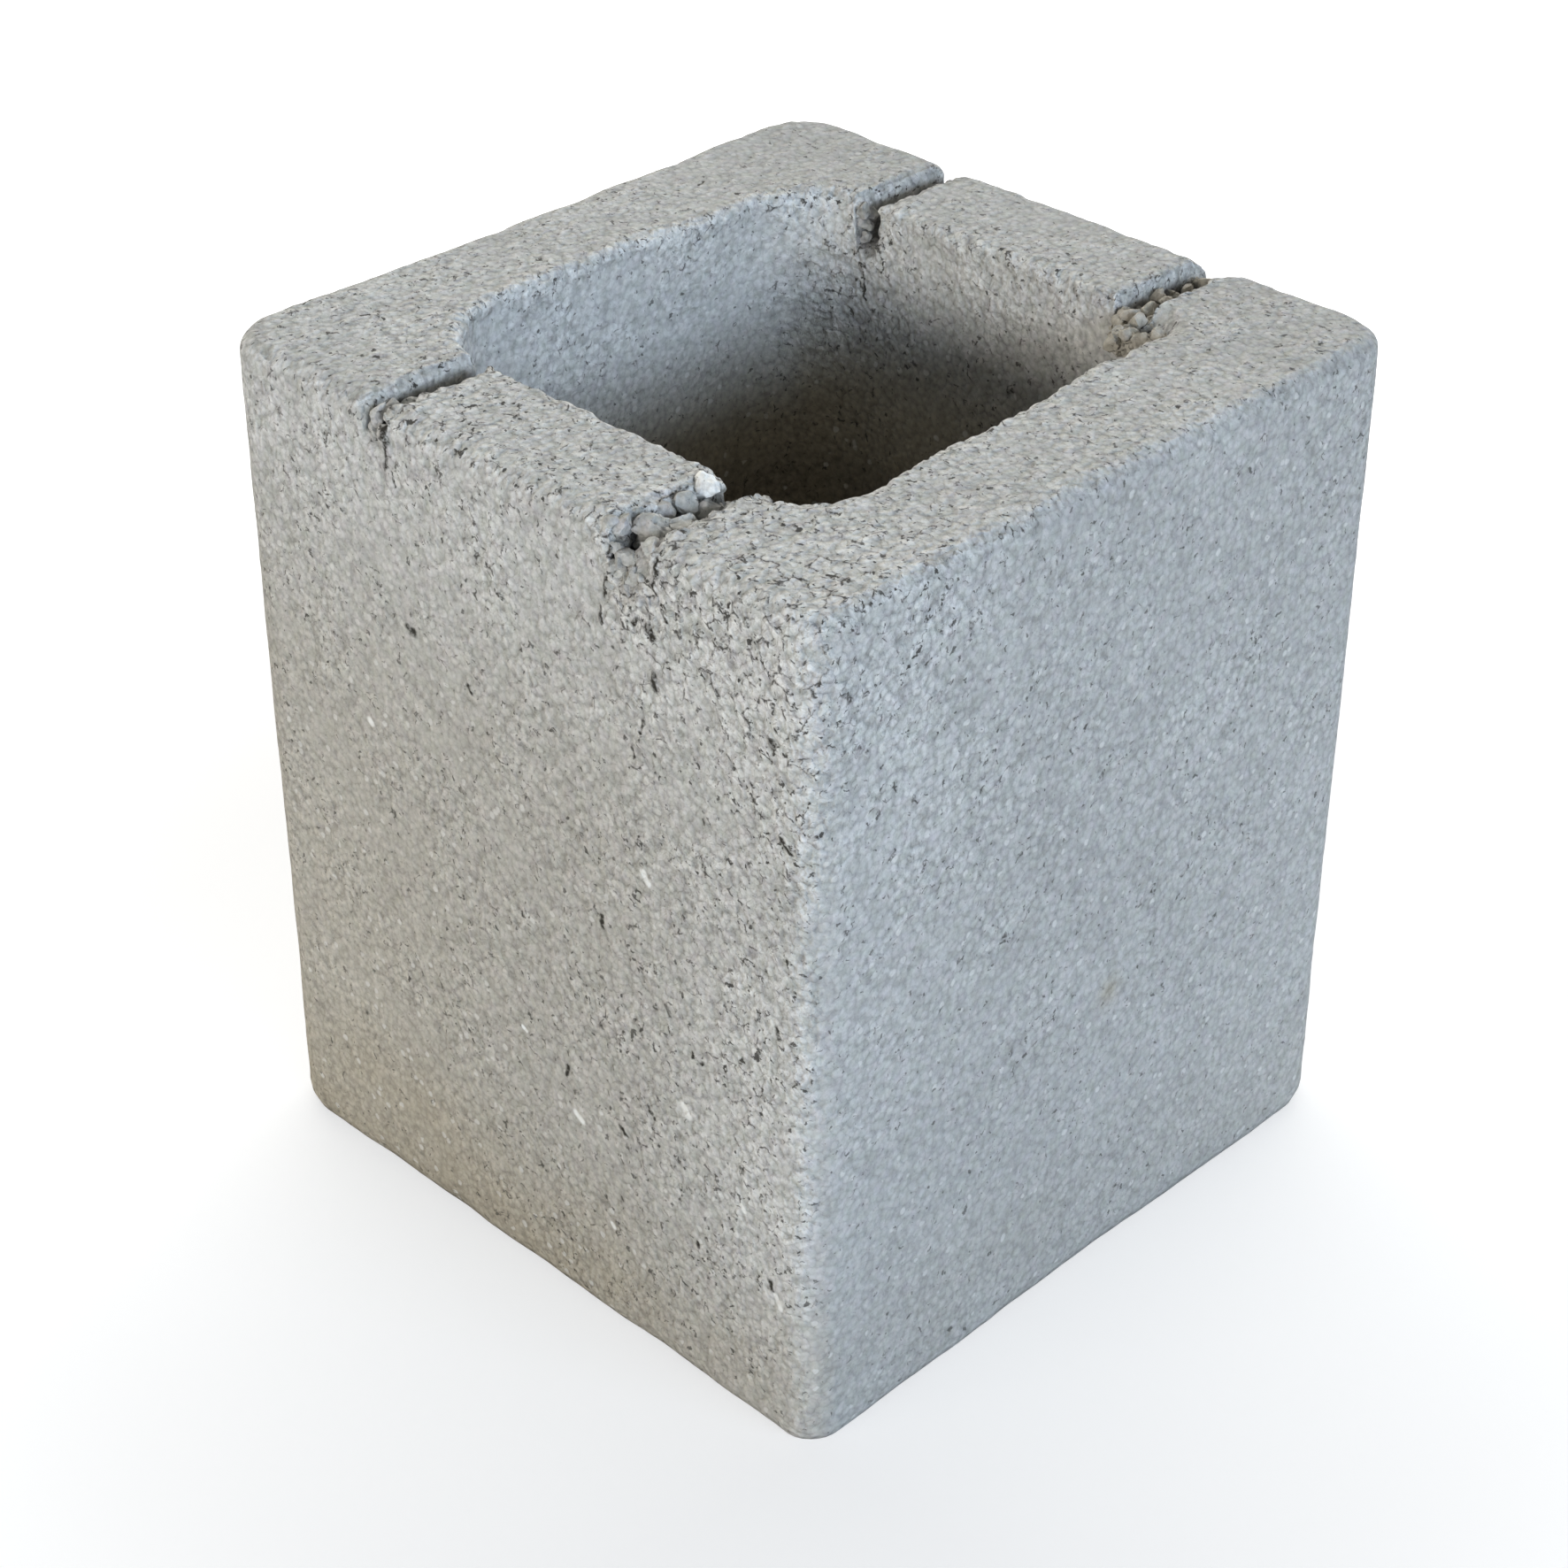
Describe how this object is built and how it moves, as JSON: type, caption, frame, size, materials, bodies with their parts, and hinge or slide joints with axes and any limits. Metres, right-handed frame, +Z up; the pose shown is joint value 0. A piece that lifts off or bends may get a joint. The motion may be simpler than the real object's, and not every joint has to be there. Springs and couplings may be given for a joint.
{
  "type": "pillar formwork block",
  "caption": "Hollow square block of dry-cast concrete with a shaft right through it and slots in the rim of two walls, stacked as lost formwork for a pillar.",
  "frame": {"origin": "middle of the foot face, at the foot's level", "axes": "+Z up along the shaft towards the slotted rim, +Y across the two walls with slots, +X across the two plain walls"},
  "size_m": [0.2, 0.2, 0.23],
  "materials": {
    "dry_cast_concrete": "rough grey dry-cast concrete with small pits, hairline fissures and pale grains"
  },
  "bodies": {
    "root": {"pillar_block": "dry_cast_concrete"}
  },
  "joints": []
}
